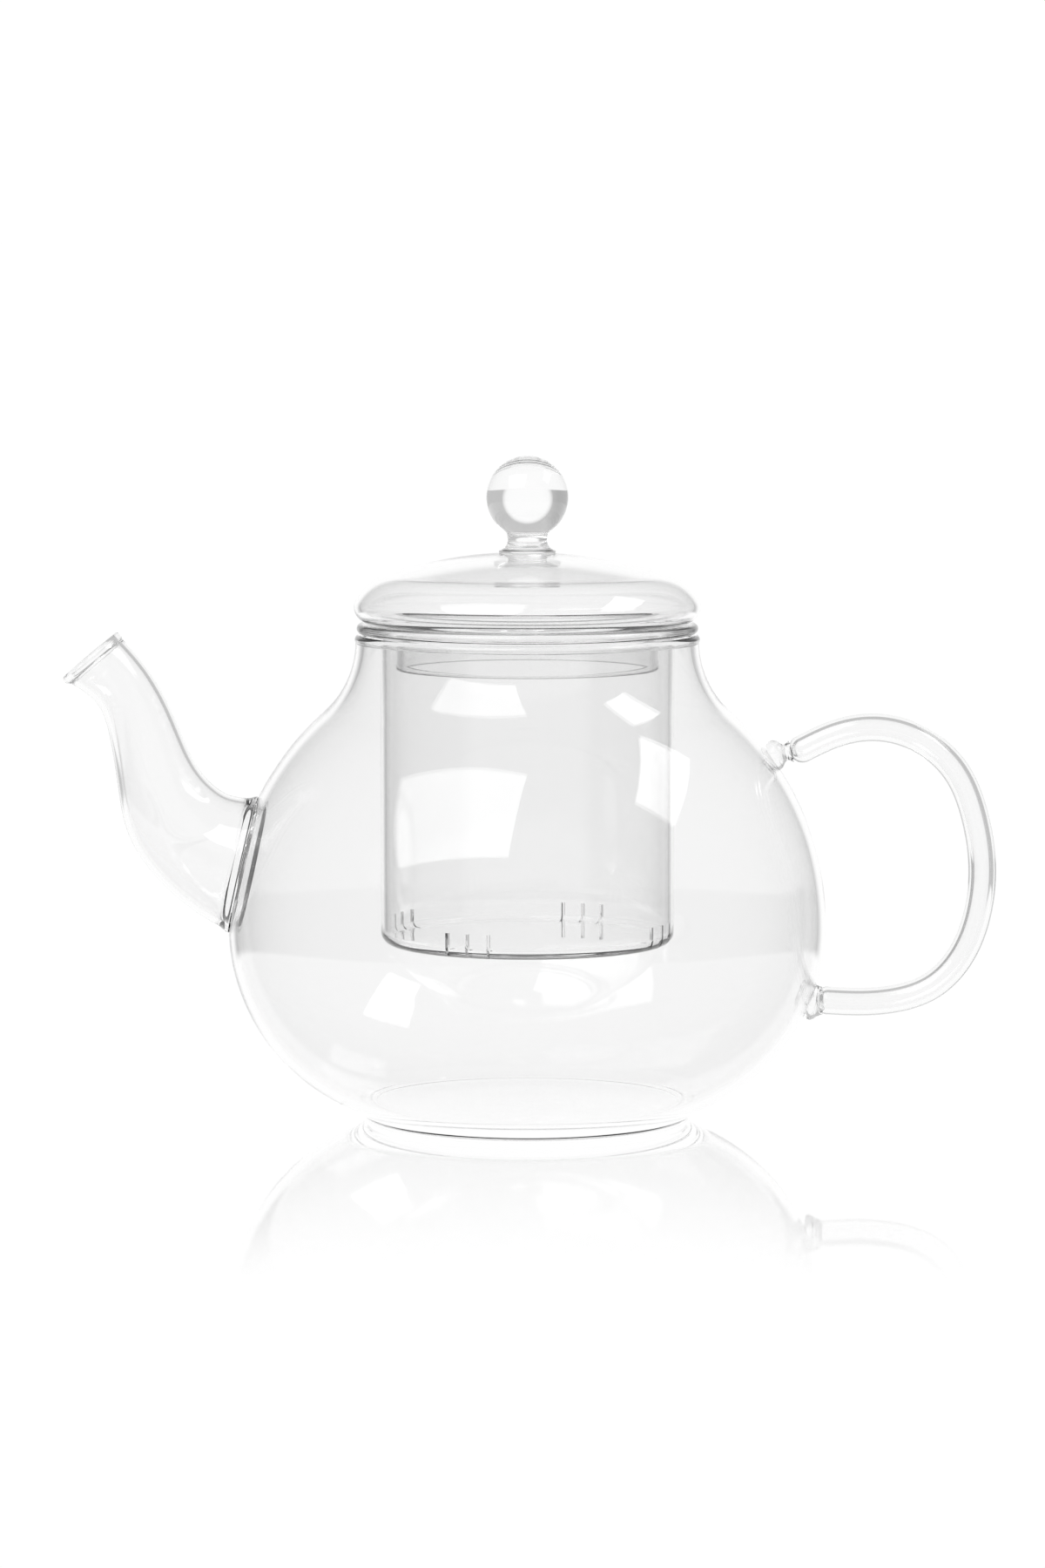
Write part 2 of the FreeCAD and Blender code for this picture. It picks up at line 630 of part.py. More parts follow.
def lid_side(sketch, inset, inset_formula):
    """The rolled edge, shoulder and crown arcs, a wall thickness inside the outer surface or on it.

    Returns the edge arc, whose start is underneath, and the crown arc, whose end is at
    the knob."""
    edge_centre = (place["lid_edge_across"], place["lid_edge_height"])
    shoulder_centre = (place["lid_shoulder_across"], place["lid_shoulder_height"])
    crown_centre = (0, place["lid_crown_height"])
    crown_radius = place["lid_crown_radius"] - inset
    edge_turn = size["lid_edge_turn"]
    shoulder_turn = angle_to(crown_centre, shoulder_centre)
    knob_turn = math.degrees(math.acos(place["knob_root_radius"] / crown_radius))

    edge = add_arc(sketch, edge_centre, size["lid_edge_radius"] - inset, -90, edge_turn)
    shoulder = add_arc(
        sketch, shoulder_centre, size["lid_shoulder_radius"] - inset, edge_turn, shoulder_turn
    )
    crown = add_arc(sketch, crown_centre, crown_radius, shoulder_turn, knob_turn)

    pin(sketch, edge, CENTRE, "Places.lid_edge_across", "Places.lid_edge_height")
    pin(sketch, edge, START, "Places.lid_edge_across", "Places.lid_bottom + %s" % inset_formula)
    blend(sketch, edge, END, shoulder, START)
    pin(sketch, shoulder, CENTRE, "Places.lid_shoulder_across", "Places.lid_shoulder_height")
    blend(sketch, shoulder, END, crown, START)
    put_on_axis(sketch, crown, CENTRE, UPRIGHT_AXIS)
    pin(sketch, crown, CENTRE, up="Places.lid_crown_height")
    pin(sketch, crown, END, across="Places.knob_root_radius")
    return edge, crown


def make_lid_dome():
    """The blown dome, rolled under at its edge and open underneath inside the collar."""
    body, sketch = new_sketch("lid_dome")
    wall = size["lid_wall"]
    outer_edge, outer_crown = lid_side(sketch, 0, "0")
    inner_edge, inner_crown = lid_side(sketch, wall, "Sizes.lid_wall")
    bore, across = place["collar_bore"], place["lid_edge_across"]
    bottom = place["lid_bottom"]

    under = add_line(sketch, (across, bottom), (bore, bottom))
    lip = add_line(sketch, (bore, bottom), (bore, bottom + wall))
    over = add_line(sketch, (bore, bottom + wall), (across, bottom + wall))
    join(sketch, under, START, outer_edge, START)
    direction("Horizontal", sketch, under)
    pin(sketch, under, END, across="Places.collar_bore")
    join(sketch, under, END, lip, START)
    direction("Vertical", sketch, lip)
    join(sketch, lip, END, over, START)
    direction("Horizontal", sketch, over)
    join(sketch, over, END, inner_edge, START)

    outer_end = sketch.getPoint(outer_crown, END)
    inner_end = sketch.getPoint(inner_crown, END)
    hole = add_line(sketch, (outer_end.x, outer_end.y), (inner_end.x, inner_end.y))
    join(sketch, hole, START, outer_crown, END)
    join(sketch, hole, END, inner_crown, END)
    return revolve(body, sketch)


def make_lid_collar():
    """The straight skirt under the dome, which keeps the lid centred in the infuser."""
    outside = doc.addObject("Part::Cylinder", "collar_outside")
    bore = doc.addObject("Part::Cylinder", "collar_inside")
    for cylinder, radius in ((outside, "Places.collar_radius"), (bore, "Places.collar_bore")):
        cylinder.setExpression("Radius", radius)
        cylinder.setExpression("Height", "Sizes.collar_depth")
        cylinder.setExpression("Placement.Base.z", "Places.lid_bottom - Sizes.collar_depth")
    return boolean("Cut", "lid_collar", outside, bore)


def make_lid_knob(dome):
    """The solid ball on its waisted neck, whose root is buttoned over inside the dome."""
    body, sketch = new_sketch("knob_whole")
    root, button = place["knob_root_radius"], place["knob_button_radius"]
    waist, waist_height = place["knob_waist_radius"], place["knob_waist_height"]
    ball, centre = size["knob_diameter"] / 2, place["knob_centre"]
    bottom, top = place["knob_button_bottom"], place["lid_top"]
    meet_height = centre - math.sqrt(ball**2 - waist**2)

    base = add_line(sketch, (0, bottom), (button, bottom))
    side = add_line(sketch, (button, bottom), (button, top - size["lid_wall"]))
    ledge = add_line(sketch, (button, top - size["lid_wall"]), (root, top - size["lid_wall"]))
    shank = add_line(sketch, (root, top - size["lid_wall"]), (root, top))
    flare = add_line(sketch, (root, top), (waist, waist_height))
    neck = add_line(sketch, (waist, waist_height), (waist, meet_height))
    low_angle = angle_to((0, centre), (waist, meet_height))
    sphere = add_arc(sketch, (0, centre), ball, low_angle, 90)
    axis = add_line(sketch, (0, centre + ball), (0, bottom))

    put_on_axis(sketch, base, START, UPRIGHT_AXIS)
    pin(sketch, base, START, up="Places.knob_button_bottom")
    pin(sketch, base, END, "Places.knob_button_radius", "Places.knob_button_bottom")
    join(sketch, base, END, side, START)
    pin(sketch, side, END, "Places.knob_button_radius", "Places.lid_top - Sizes.lid_wall")
    join(sketch, side, END, ledge, START)
    pin(sketch, ledge, END, "Places.knob_root_radius", "Places.lid_top - Sizes.lid_wall")
    join(sketch, ledge, END, shank, START)
    pin(sketch, shank, END, "Places.knob_root_radius", "Places.lid_top")
    join(sketch, shank, END, flare, START)
    pin(sketch, flare, END, "Places.knob_waist_radius", "Places.knob_waist_height")
    join(sketch, flare, END, neck, START)
    direction("Vertical", sketch, neck)
    join(sketch, neck, END, sphere, START)
    put_on_axis(sketch, sphere, CENTRE, UPRIGHT_AXIS)
    pin(sketch, sphere, CENTRE, up="Places.knob_centre")
    put_on_axis(sketch, sphere, END, UPRIGHT_AXIS)
    pin(sketch, sphere, END, up="Places.knob_centre + Sizes.knob_diameter / 2")
    join(sketch, axis, START, sphere, END)
    join(sketch, axis, END, base, START)
    return boolean("Cut", "lid_knob", revolve(body, sketch), dome)


# ---- the assembly ----


def build():
    envelope = make_pot_form("pot_envelope", 0, "0")
    bore = spout_loft("spout_bore", "Sizes.spout_wall", BORE_OVERRUN)
    pot_bowl = boolean("Cut", "pot_bowl", make_pot_shell(), bore)
    spout, spout_outside = make_spout(envelope, bore)
    spout_seam = make_spout_seam(envelope, spout_outside)
    handle_tube, handle_outside = make_handle()
    upper_bead = make_upper_bead(envelope, handle_outside)
    lower_bead = make_lower_bead(envelope, handle_outside)
    infuser = boolean("Cut", "infuser", make_infuser_cup(), make_slot_blades())
    dome = make_lid_dome()
    collar = make_lid_collar()
    knob = make_lid_knob(dome)
    doc.recompute()
    return [
        pot_bowl, spout, spout_seam, handle_tube, upper_bead, lower_bead,
        infuser, dome, collar, knob,
    ]


def check(parts):
    for item in doc.Objects:
        if "Invalid" in item.State or "Error" in item.State:
            raise RuntimeError("%s did not compute: %s" % (item.Name, item.State))
    for part in parts:
        shape = part.Shape
        if shape.isNull() or not shape.isValid() or len(shape.Solids) != 1:
            raise RuntimeError("%s is not one sound solid" % part.Label)


def export(parts):
    os.makedirs("parts", exist_ok=True)
    for part in parts:
        part.Shape.exportStep("parts/%s.step" % part.Label)
        box = part.Shape.BoundBox
        print("%-20s %9.1f mm3   x %7.2f %7.2f   z %7.2f %7.2f" % (
            part.Label, part.Shape.Volume, box.XMin, box.XMax, box.ZMin, box.ZMax))


pieces = build()
check(pieces)
export(pieces)
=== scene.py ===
import math

import bmesh
import bpy
import numpy as np
from mathutils import Matrix, Vector, noise


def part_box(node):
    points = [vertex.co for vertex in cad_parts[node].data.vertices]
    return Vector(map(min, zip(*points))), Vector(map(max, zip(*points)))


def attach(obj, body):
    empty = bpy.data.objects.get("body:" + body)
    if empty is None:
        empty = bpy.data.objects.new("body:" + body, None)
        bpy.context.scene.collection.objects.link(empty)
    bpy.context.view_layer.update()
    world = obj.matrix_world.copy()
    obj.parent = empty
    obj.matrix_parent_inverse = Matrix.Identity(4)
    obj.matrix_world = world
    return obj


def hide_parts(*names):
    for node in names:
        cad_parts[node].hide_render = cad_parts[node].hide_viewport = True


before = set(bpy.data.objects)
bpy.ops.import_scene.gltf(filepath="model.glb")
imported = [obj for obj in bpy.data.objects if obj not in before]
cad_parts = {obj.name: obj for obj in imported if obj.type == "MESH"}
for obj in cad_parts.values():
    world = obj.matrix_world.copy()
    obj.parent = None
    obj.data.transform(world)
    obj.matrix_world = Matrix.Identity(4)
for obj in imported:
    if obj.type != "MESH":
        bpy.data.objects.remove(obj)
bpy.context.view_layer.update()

mm = 0.001

# Sizes that the frame already holds, in millimetres
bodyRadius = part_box("pot_bowl")[1].y / mm
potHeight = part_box("pot_bowl")[1].z / mm
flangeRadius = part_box("infuser")[1].y / mm
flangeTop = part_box("infuser")[1].z / mm
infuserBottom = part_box("infuser")[0].z / mm
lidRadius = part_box("lid_dome")[1].y / mm
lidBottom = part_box("lid_dome")[0].z / mm
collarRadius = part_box("lid_collar")[1].y / mm
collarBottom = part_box("lid_collar")[0].z / mm
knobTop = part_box("lid_knob")[1].z / mm


def arcAbout(centre, radius, first, last, count):
    # points of an arc between two angles in degrees
    turns = np.radians(np.linspace(first, last, count))
    return [(centre[0] + radius * math.cos(t), centre[1] + radius * math.sin(t)) for t in turns]


def straight(start, end, count):
    # points between two places, without the two themselves
    steps = np.linspace(0, 1, count + 2)[1:-1]
    return [tuple(np.array(start) + (np.array(end) - np.array(start)) * t) for t in steps]


def splineThrough(points, count):
    # a natural cubic spline through rows of numbers, spaced by how far apart their first two columns are
    rows = np.array(points, float)
    gaps = np.hypot(*(rows[1:, :2] - rows[:-1, :2]).T)
    at = np.concatenate(([0], np.cumsum(gaps)))
    n = len(rows)
    system = np.zeros((n, n))
    right = np.zeros((n, rows.shape[1]))
    system[0, 0] = system[-1, -1] = 1
    for i in range(1, n - 1):
        system[i, i - 1] = gaps[i - 1]
        system[i, i] = 2 * (gaps[i - 1] + gaps[i])
        system[i, i + 1] = gaps[i]
        right[i] = 6 * ((rows[i + 1] - rows[i]) / gaps[i] - (rows[i] - rows[i - 1]) / gaps[i - 1])
    bend = np.linalg.solve(system, right)

    def sample(s):
        i = int(np.clip(np.searchsorted(at, s) - 1, 0, n - 2))
        g, a, b = gaps[i], at[i + 1] - s, s - at[i]
        return (bend[i] * a**3 + bend[i + 1] * b**3) / (6 * g) + \
            (rows[i] / g - bend[i] * g / 6) * a + (rows[i + 1] / g - bend[i + 1] * g / 6) * b

    return [sample(s) for s in np.linspace(0, at[-1], count)]


def gridMesh(name, rings, closed=False, poles=(None, None), material=None):
    # rings: arrays of points in millimetres, all the same length, joined one to the next
    mesh = bpy.data.meshes.new(name)
    around = len(rings[0])
    points = [tuple(p * mm) for ring in rings for p in ring]
    faces = []
    last = len(rings) if closed else len(rings) - 1
    for i in range(last):
        a, b = i * around, (i + 1) % len(rings) * around
        for j in range(around):
            k = (j + 1) % around
            faces.append((a + j, a + k, b + k, b + j))
    for pole, ring, flip in ((poles[0], 0, True), (poles[1], len(rings) - 1, False)):
        if pole is not None:
            points.append(tuple(np.array(pole) * mm))
            tip = len(points) - 1
            for j in range(around):
                a, b = ring * around + j, ring * around + (j + 1) % around
                faces.append((tip, b, a) if flip else (tip, a, b))
    mesh.from_pydata(points, [], faces)
    mesh.validate()
    for face in mesh.polygons:
        face.use_smooth = True
    piece = bpy.data.objects.new(name, mesh)
    bpy.context.scene.collection.objects.link(piece)
    if material:
        mesh.materials.append(material)
    return piece


def faceOutward(piece):
    work = bmesh.new()
    work.from_mesh(piece.data)
    bmesh.ops.recalc_face_normals(work, faces=work.faces)
    work.to_mesh(piece.data)
    work.free()


def joined(name, *pieces):
    # several closed surfaces in one mesh, such as a tube's outside and its bore
    work = bmesh.new()
    for piece in pieces:
        work.from_mesh(piece.data)
    mesh = bpy.data.meshes.new(name)
    work.to_mesh(mesh)
    work.free()
    for material in pieces[0].data.materials:
        mesh.materials.append(material)
    for piece in pieces:
        bpy.data.objects.remove(piece)
    made = bpy.data.objects.new(name, mesh)
    bpy.context.scene.collection.objects.link(made)
    return made


def turned(name, outline, around, closed=False, wobble=0.0, wobbleSize=40.0, material=None):
    # an outline of (radius, height) turned about the pot's axis; wobble draws it in a little, unevenly
    rings = []
    poles = [None, None]
    spin = np.linspace(0, 2 * math.pi, around, endpoint=False)
    circle = np.stack([np.cos(spin), np.sin(spin)], 1)
    for index, (radius, height) in enumerate(outline):
        if radius < 1e-6:
            poles[0 if index == 0 else 1] = (0, 0, height)
            continue
        ring = np.zeros((around, 3))
        ring[:, :2] = circle * radius
        ring[:, 2] = height
        if wobble:
            fade = min(1.0, radius / 20)
            for j in range(around):
                push = (noise.noise(Vector(ring[j]) / wobbleSize) - 1) / 2 * wobble * fade
                ring[j, :2] += circle[j] * push
        rings.append(ring)
    piece = gridMesh(name, rings, closed, poles, material)
    faceOutward(piece)
    return piece


def cutBy(piece, cutter, keepSharp=35, openCut=False):
    # takes the cutter's shape out of the piece; an open cut gets no faces of its own
    cut = piece.modifiers.new("cut", "BOOLEAN")
    cut.operation = "DIFFERENCE"
    cut.solver = "EXACT"
    cut.material_mode = "TRANSFER"
    cut.object = cutter
    bpy.context.view_layer.update()
    graph = bpy.context.evaluated_depsgraph_get()
    mesh = bpy.data.meshes.new_from_object(piece.evaluated_get(graph))
    piece.modifiers.clear()
    piece.data = mesh
    bpy.data.objects.remove(cutter)
    if openCut:
        work = bmesh.new()
        work.from_mesh(mesh)
        made = [face for face in work.faces if face.material_index > 0]
        bmesh.ops.delete(work, geom=made, context="FACES")
        work.to_mesh(mesh)
        work.free()
        mesh.materials.pop(index=1)
    mesh.set_sharp_from_angle(angle=math.radians(keepSharp))
    return piece


def place(piece, body, *nodes):
    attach(piece, body)
    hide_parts(*nodes)


def toLinear(hexColour):
    parts = [int(hexColour[i:i + 2], 16) / 255 for i in (1, 3, 5)]
    return tuple(p / 12.92 if p <= 0.04045 else ((p + 0.055) / 1.055) ** 2.4 for p in parts) + (1.0,)


def addNode(tree, kind, settings=None, links=None):
    # one node, its settings by socket or attribute name, and what feeds its sockets
    node = tree.nodes.new(kind)
    for key, value in (settings or {}).items():
        if key in node.inputs:
            node.inputs[key].default_value = value
        else:
            setattr(node, key, value)
    for key, source in (links or {}).items():
        tree.links.new(source, node.inputs[key])
    return node


def clearGlass(name, tint, waveSize, waveDepth):
    # borosilicate: IOR 1.47, colourless, and so smooth that only its slow waves show; sizes in millimetres
    material = bpy.data.materials.new(name)
    material.use_nodes = True
    tree = material.node_tree
    tree.nodes.clear()
    where = addNode(tree, "ShaderNodeTexCoord")
    waves = addNode(tree, "ShaderNodeTexNoise",
                    {"Scale": 1 / (waveSize * mm), "Detail": 1.5, "Roughness": 0.4},
                    {"Vector": where.outputs["Object"]})
    bump = addNode(tree, "ShaderNodeBump", {"Strength": 1.0, "Distance": waveDepth * mm},
                   {"Height": waves.outputs["Fac"]})
    glass = addNode(tree, "ShaderNodeBsdfPrincipled",
                    {"Base Color": toLinear(tint), "Transmission Weight": 1.0, "IOR": 1.473,
                     "Roughness": 0.0},
                    {"Normal": bump.outputs["Normal"]})
    # lamps shine through it: its shadow is as faint as real glass throws
    path = addNode(tree, "ShaderNodeLightPath")
    clear = addNode(tree, "ShaderNodeBsdfTransparent", {"Color": toLinear(tint)})
    both = addNode(tree, "ShaderNodeMixShader", links={"Fac": path.outputs["Is Shadow Ray"]})
    tree.links.new(glass.outputs["BSDF"], both.inputs[1])
    tree.links.new(clear.outputs["BSDF"], both.inputs[2])
    addNode(tree, "ShaderNodeOutputMaterial", links={"Surface": both.outputs["Shader"]})
    return material


# blown: broad shallow waves bend the reflections of the softboxes
blownGlass = clearGlass("blownBorosilicate", "#FBFBFB", 30, 0.05)
# drawn tube: almost straight reflections
drawnGlass = clearGlass("drawnBorosilicateTube", "#FBFBFB", 20, 0.008)
# worked from solid rod at the torch: acts as a lens, with the finest waves
solidGlass = clearGlass("solidBorosilicateRod", "#FBFBFB", 10, 0.008)


pot = {
    "widestHeight": 49.0,
    "neckRadius": 43.0,
    "shoulderRadius": 24.0,
    "rimStraight": 1.6,
    "wall": 2.1,
    "floorThickness": 3.0,
    "footRadius": 40.5,
    "stepRadius": 45.5,
    "footHeight": 4.0,
    "rimBead": 1.3,
    # rings pressed into the inside of the floor, and the rise at its middle
    "rippleDepth": 0.16,
    "rippleLength": 3.4,
    "middleRise": 0.5,
    # how far the blown wall strays inside its plain shape, and over what length
    "wobble": 0.22,
    "wobbleSize": 38,
    "around": 256,
}
shoulderTop = potHeight - pot["rimStraight"]
shoulderAcross = pot["neckRadius"] + pot["shoulderRadius"]
bellyInset = shoulderAcross - bodyRadius
bellyRise = shoulderTop - pot["widestHeight"]
bellyChord = bellyInset**2 + bellyRise**2 - pot["shoulderRadius"] ** 2
bellyRadius = bellyChord / (2 * (pot["shoulderRadius"] - bellyInset))
bellyAcross = bodyRadius - bellyRadius
stepDrop = pot["widestHeight"] - pot["footHeight"]
stepInset = bodyRadius - pot["stepRadius"]
bowlRadius = (stepDrop**2 + stepInset**2) / (2 * stepInset)
bowlAcross = bodyRadius - bowlRadius
bellyLean = math.degrees(math.atan2(bellyRise, shoulderAcross - bellyAcross))


def outsideRadius(height):
    # the bowl's outer radius at a height
    above = height - pot["widestHeight"]
    if above < 0:
        return bowlAcross + math.sqrt(max(bowlRadius**2 - above**2, 0))
    if above < bellyRise * bellyRadius / (bellyRadius + pot["shoulderRadius"]):
        return bellyAcross + math.sqrt(bellyRadius**2 - above**2)
    below = shoulderTop - height
    return shoulderAcross - math.sqrt(max(pot["shoulderRadius"] ** 2 - below**2, 0))


def potSide(inset, low, count):
    # bowl, belly and shoulder, from a low height up to the neck
    lowAngle = -math.degrees(math.asin((pot["widestHeight"] - low) / (bowlRadius - inset)))
    bowl = arcAbout((bowlAcross, pot["widestHeight"]), bowlRadius - inset, lowAngle, 0, count)
    belly = arcAbout((bellyAcross, pot["widestHeight"]), bellyRadius - inset, 0, bellyLean, count)
    shoulder = arcAbout((shoulderAcross, shoulderTop), pot["shoulderRadius"] + inset,
                        180 + bellyLean, 180, count // 2)
    return bowl + belly[1:] + shoulder[1:]


def makePotBowl():
    wall = pot["wall"]
    foot, step = pot["footRadius"], pot["stepRadius"]
    base = [(0, 0), (8, 0), (18, 0), (28, 0), (foot - 3, 0), (foot - 1.6, 0)]
    edge = arcAbout((foot - 1.0, 1.6), 1.6, -75, -10, 6)
    side = straight(edge[-1], (step, pot["footHeight"]), 2)
    outside = potSide(0, pot["footHeight"], 44)
    beadCentre = (pot["neckRadius"] - wall / 2, potHeight - pot["rimBead"])
    bead = arcAbout(beadCentre, pot["rimBead"], -35, 215, 16)
    inside = potSide(wall, pot["floorThickness"] + 0.4, 44)[::-1]
    floorEdge = inside[-1][0]
    floorLine = []
    for t in np.linspace(0.04, 1, 26):
        radius = floorEdge * (1 - t)
        fade = math.exp(-((radius - 20) / 14) ** 2)
        ripple = pot["rippleDepth"] * math.cos(radius / pot["rippleLength"]) * fade
        push = pot["middleRise"] * math.exp(-(radius / 16) ** 2)
        floorLine.append((radius, pot["floorThickness"] + 0.3 * (1 - t) + ripple * (1 - t) + push))
    floorLine[-1] = (0, floorLine[-1][1])
    outline = base + edge + side + outside + bead + inside + floorLine
    return turned("potBowlGlass", outline, pot["around"], wobble=pot["wobble"],
                  wobbleSize=pot["wobbleSize"], material=blownGlass)


spout = {
    # out from the widest radius, height, diameter, rise in degrees
    "sections": (
        (-11.0, 62.4, 35.0, 12.0),
        (-2.5, 64.4, 33.0, 14.0),
        (8.4, 70.7, 27.6, 38.0),
        (13.8, 76.9, 24.9, 56.0),
        (17.5, 85.4, 20.7, 70.0),
        (21.7, 99.6, 16.7, 70.0),
        (26.7, 109.5, 15.4, 54.0),
        (33.6, 115.9, 17.4, 50.0),
    ),
    "wall": 1.4,
    "lipBead": 1.2,
    "seamFlare": 0.8,
    "seamReach": 1.8,
    "seamRings": 16,
    # above 1, the rings crowd towards the joint
    "crowding": 1.4,
    "around": 96,
    "along": 110,
    # the bowl's uneven wall lies up to this far inside its plain shape
    "sink": 0.15,
    # how far the hole for the spout runs past the bowl's wall, as shares of the spout's length
    "holeInward": 0.04,
    "holeOutward": 0.02,
}
spoutLine = [np.array(row) for row in splineThrough(spout["sections"], 400)]


def spoutPoint(s, turn, inset):
    # a point of the spout's surface at s from 0 to 1 along it
    at = s * (len(spoutLine) - 1)
    i = min(int(at), len(spoutLine) - 2)
    out, up, diameter, rise = spoutLine[i] + (spoutLine[i + 1] - spoutLine[i]) * (at - i)
    rise = math.radians(rise)
    radius = diameter / 2 - inset
    side = math.cos(turn) * radius
    return np.array((
        -(bodyRadius + out) + math.sin(rise) * side,
        math.sin(turn) * radius,
        up + math.cos(rise) * side,
    ))


def bowlMeeting(turn, inset, sink):
    # how far along the spout this line of its surface is as deep in the bowl as the sink
    low, high = 0.0, 0.5
    for _ in range(30):
        middle = (low + high) / 2
        p = spoutPoint(middle, turn, inset)
        if math.hypot(p[0], p[1]) < outsideRadius(p[2]) - sink:
            low = middle
        else:
            high = middle
    return high


spoutTurns = np.linspace(0, 2 * math.pi, spout["around"], endpoint=False)


def spoutRings(inset, sink, count, flare=0.0):
    # rings from where this skin meets the bowl out to the mouth
    starts = [bowlMeeting(turn, inset, sink) for turn in spoutTurns]
    rings = []
    for share in np.linspace(0, 1, count) ** spout["crowding"]:
        ring = []
        for turn, start in zip(spoutTurns, starts):
            s = start + (1 - start) * share
            away = np.linalg.norm(spoutPoint(s, turn, inset) - spoutPoint(start, turn, inset))
            ring.append(spoutPoint(s, turn, inset - flare * math.exp(-(away / spout["seamReach"]) ** 2)))
        rings.append(np.array(ring))
    return rings


def lipRings():
    # the polished lip: the wall's end rolled over from the outside to the bore
    rise = math.radians(spout["sections"][-1][3])
    outward = np.array((-math.cos(rise), 0, math.sin(rise)))
    rings = []
    bead = spout["lipBead"]
    middle = spout["wall"] / 2
    for angle in np.radians(np.linspace(-50, 230, 20)):
        ring = []
        for turn in spoutTurns:
            centre = spoutPoint(1, turn, middle)
            tilt = spoutPoint(1, turn, middle - 1) - centre
            ring.append(centre + (tilt * math.cos(angle) + outward * math.sin(angle)) * bead)
        rings.append(np.array(ring))
    return rings


def makeSpout():
    # an open skin that meets the seam's outside and the bowl's inside, as in fused glass
    outside = spoutRings(0, spout["sink"], spout["along"], spout["seamFlare"])[spout["seamRings"]:-2]
    bore = spoutRings(spout["wall"], pot["wall"] + spout["sink"], spout["along"])[::-1]
    piece = gridMesh("spoutGlass", outside + lipRings() + bore[2:], material=drawnGlass)
    faceOutward(piece)
    return piece


def makeSpoutHole():
    # as wide as the spout outside the bowl's wall and as its bore inside it
    # fault: its outer end stops short of the bowl's bulge, so a patch of wall is left in the opening
    rings = []
    boreInset, boreSink = spout["wall"], pot["wall"] + spout["sink"]
    skinInset, skinSink = -spout["seamFlare"], spout["sink"]
    steps = (
        (-spout["holeInward"], boreInset, boreSink),
        (0, boreInset, boreSink),
        (0, skinInset, skinSink),
        (spout["holeOutward"], skinInset, skinSink),
    )
    for ahead, inset, sink in steps:
        ring = [spoutPoint(bowlMeeting(turn, inset, sink) + ahead, turn, inset) for turn in spoutTurns]
        rings.append(np.array(ring))
    tips = (rings[0].mean(0), rings[-1].mean(0))
    piece = gridMesh("spoutHole", rings, poles=tips, material=solidGlass)
    faceOutward(piece)
    return piece


def makeSpoutSeam():
    # the flare of melted glass at the joint: an open band between the bowl's skin and the spout's
    rings = spoutRings(0, spout["sink"], spout["along"], spout["seamFlare"])[:spout["seamRings"] + 1]
    piece = gridMesh("spoutSeamGlass", rings, material=solidGlass)
    faceOutward(piece)
    return piece


handle = {
    # centre line, out from the widest radius and up, from the upper end round to the lower
    "line": (
        (-6.1, 93.2), (2.6, 97.1), (12.5, 98.5), (23.6, 95.3), (32.2, 87.6), (37.2, 75.6),
        (38.95, 64.6), (38.05, 52.5), (33.6, 40.8), (26.4, 33.4), (17.0, 30.1), (8.0, 29.4), (0.5, 29.7),
    ),
    "diameter": 7.0,
    "wall": 1.3,
    "around": 48,
    "along": 220,
    "capSteps": 12,
}


def barRings(line, radius, around, capSteps):
    # a round bar along a line in the plane of the handle, with a dome at each end
    line = [np.array((bodyRadius + p[0], 0, p[1])) for p in line]
    turns = np.linspace(0, 2 * math.pi, around, endpoint=False)
    rings = []

    def ringAt(centre, ahead, size):
        across = np.array((0, 1, 0))
        up = np.cross(ahead, across)
        rings.append(np.array([centre + (across * math.cos(t) + up * math.sin(t)) * size for t in turns]))

    ways = [b - a for a, b in zip(line, line[1:])]
    ways = [w / np.linalg.norm(w) for w in ways]
    for step in range(1, capSteps):
        a = math.radians(90 * step / capSteps)
        ringAt(line[0] - ways[0] * radius * math.cos(a), ways[0], radius * math.sin(a))
    for i, centre in enumerate(line):
        ahead = ways[min(i, len(ways) - 1)] + ways[max(i - 1, 0)]
        ringAt(centre, ahead / np.linalg.norm(ahead), radius)
    for step in range(1, capSteps):
        a = math.radians(90 * step / capSteps)
        ringAt(line[-1] + ways[-1] * radius * math.sin(a), ways[-1], radius * math.cos(a))
    return rings, (line[0] - ways[0] * radius, line[-1] + ways[-1] * radius)


def makeHandleTube():
    line = splineThrough(handle["line"], handle["along"])
    skins = []
    outer = handle["diameter"] / 2
    for name, radius in (("outside", outer), ("bore", outer - handle["wall"])):
        rings, tips = barRings(line, radius, handle["around"], handle["capSteps"])
        skin = gridMesh(name, rings, poles=tips, material=drawnGlass)
        faceOutward(skin)
        skins.append(skin)
    skins[1].data.flip_normals()
    return joined("handleTubeGlass", *skins)


beads = {
    # height on the bowl, (radius, distance from the bowl's wall) outline, and how lumpy
    "upperHeight": 91.3,
    "upperOutline": (
        (1.0, -0.9), (3.0, -0.8), (3.7, 0.1), (3.9, 1.0), (3.4, 2.1),
        (2.5, 2.9), (2.0, 3.5), (2.1, 4.2), (2.6, 5.0), (1.2, 5.4),
    ),
    "upperLump": 0.5,
    "lowerHeight": 29.7,
    "lowerOutline": (
        (1.5, -1.4), (4.6, -1.0), (4.9, -0.2), (4.6, 0.7),
        (4.0, 1.6), (3.7, 2.4), (3.55, 3.0), (2.4, 3.2),
    ),
    "lowerLump": 0.3,
    "around": 40,
}


